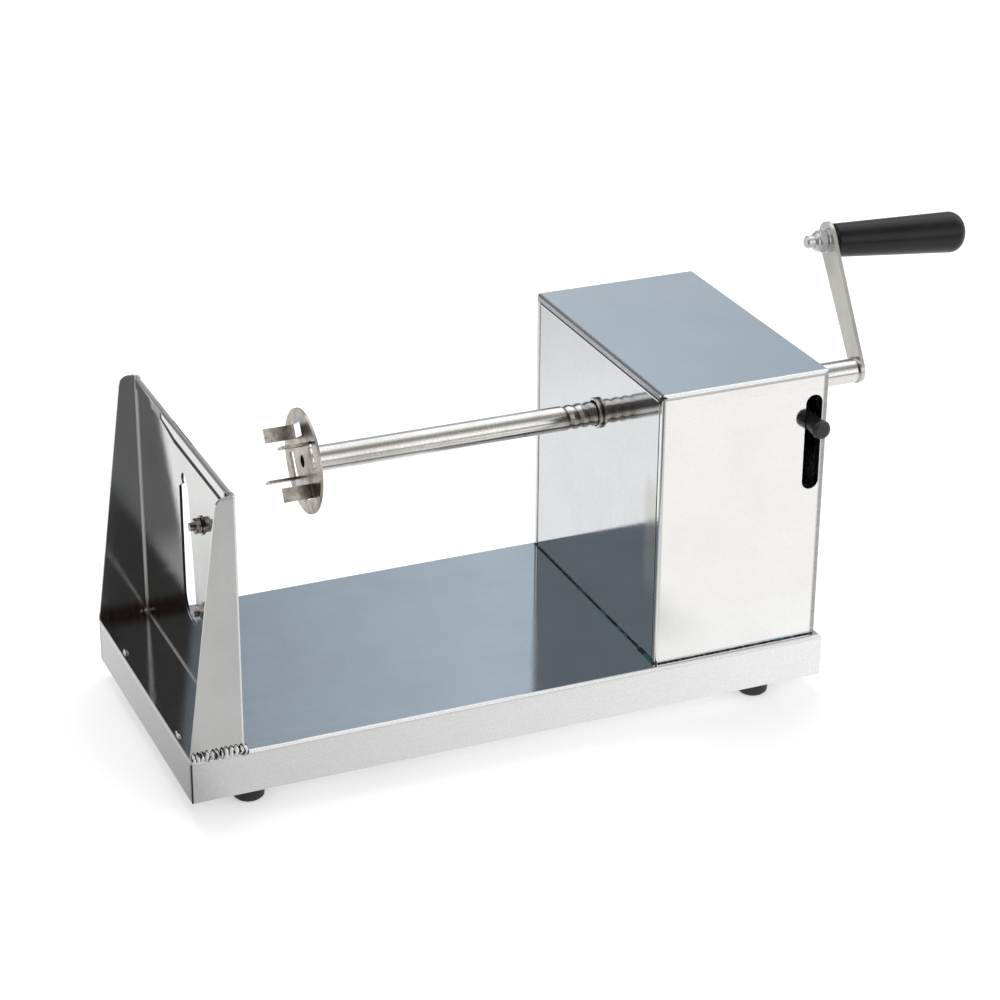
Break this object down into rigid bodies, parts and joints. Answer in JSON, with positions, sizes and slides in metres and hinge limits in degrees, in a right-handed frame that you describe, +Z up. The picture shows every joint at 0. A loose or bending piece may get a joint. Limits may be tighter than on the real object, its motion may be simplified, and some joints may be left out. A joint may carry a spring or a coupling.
{
  "type": "spiral potato cutter",
  "caption": "Hand-cranked spiral potato cutter: a grooved spindle with a pronged disc screws the potato against a blade on a folded steel stand.",
  "frame": {"origin": "on the table, under the middle of the base tray", "axes": "+X along the spindle towards the crank, -X towards the blade stand, +Z up, -Y towards the side with the release knob"},
  "size_m": [0.356, 0.122, 0.1521],
  "materials": {
    "satin_steel": "satin stainless sheet",
    "mirror_steel": "mirror-polished stainless sheet",
    "tube_steel": "polished stainless tube",
    "warm_steel": "polished stainless, a little warm",
    "blade_steel": "ground blade steel",
    "bush_steel": "turned steel",
    "weld_steel": "bare weld, rippled",
    "zinc_steel": "bright zinc plate",
    "bronze_steel": "dark browned steel",
    "rubber": "matt black rubber",
    "black_plastic": "satin black plastic"
  },
  "bodies": {
    "frame": {"base_tray": "satin_steel", "foot_front_near": "rubber", "foot_front_far": "rubber", "foot_rear_near": "rubber", "foot_rear_far": "rubber", "foot_screws": "zinc_steel", "foot_nuts": "zinc_steel", "blade_stand": "satin_steel", "stand_welds": "weld_steel", "slicing_blade": "blade_steel", "blade_screws": "bronze_steel", "blade_washers": "bronze_steel", "blade_nuts": "bronze_steel", "housing_cover": "satin_steel", "front_panel": "mirror_steel", "rear_panel": "satin_steel", "rear_bush": "bush_steel", "lever_pivot_bolt": "zinc_steel", "lever_spacer": "zinc_steel", "lever_washer": "zinc_steel", "lever_pivot_nut": "zinc_steel", "spring_hanger": "zinc_steel", "lever_spring": "zinc_steel"},
    "turning_bush": {"front_bush": "bush_steel", "front_bush_clip": "zinc_steel"},
    "spindle": {"spindle_tube": "tube_steel", "holder_disc": "warm_steel", "disc_weld": "warm_steel", "crank_arm": "satin_steel", "arm_weld": "weld_steel", "grip_bolt": "zinc_steel", "grip_nut": "zinc_steel", "nut_washer": "zinc_steel", "grip_washer": "zinc_steel"},
    "grip": {"crank_grip": "black_plastic"},
    "lever": {"release_lever": "satin_steel", "knob_screw": "zinc_steel", "lever_knob": "black_plastic"}
  },
  "joints": [
    {"name": "crank_turn", "type": "hinge", "parent": "frame", "child": "turning_bush", "pos_m": [0.0562, 0, 0.1036], "axis": [1, 0, 0], "range_deg": [-2340, 6300]},
    {"name": "spindle_feed", "type": "slide", "parent": "turning_bush", "child": "spindle", "axis": [1, 0, 0], "range_m": [-0.026, 0.07]},
    {"name": "grip_spin", "type": "hinge", "parent": "spindle", "child": "grip", "pos_m": [0.174, 0.03479, 0.14462], "axis": [0.9977, -0.044, -0.0519], "continuous": true},
    {"name": "release_lever_swing", "type": "hinge", "parent": "frame", "child": "lever", "pos_m": [0.1125, 0.042, 0.09085], "axis": [1, 0, 0], "range_deg": [0, 12], "stiffness_Nm_per_rad": 0.4, "springref_deg": -20.05, "deforming": ["lever_spring"]}
  ],
  "couplings": [
    {"joint": "spindle_feed", "follows": "crank_turn", "m_per_rad": 0.00063662}
  ]
}
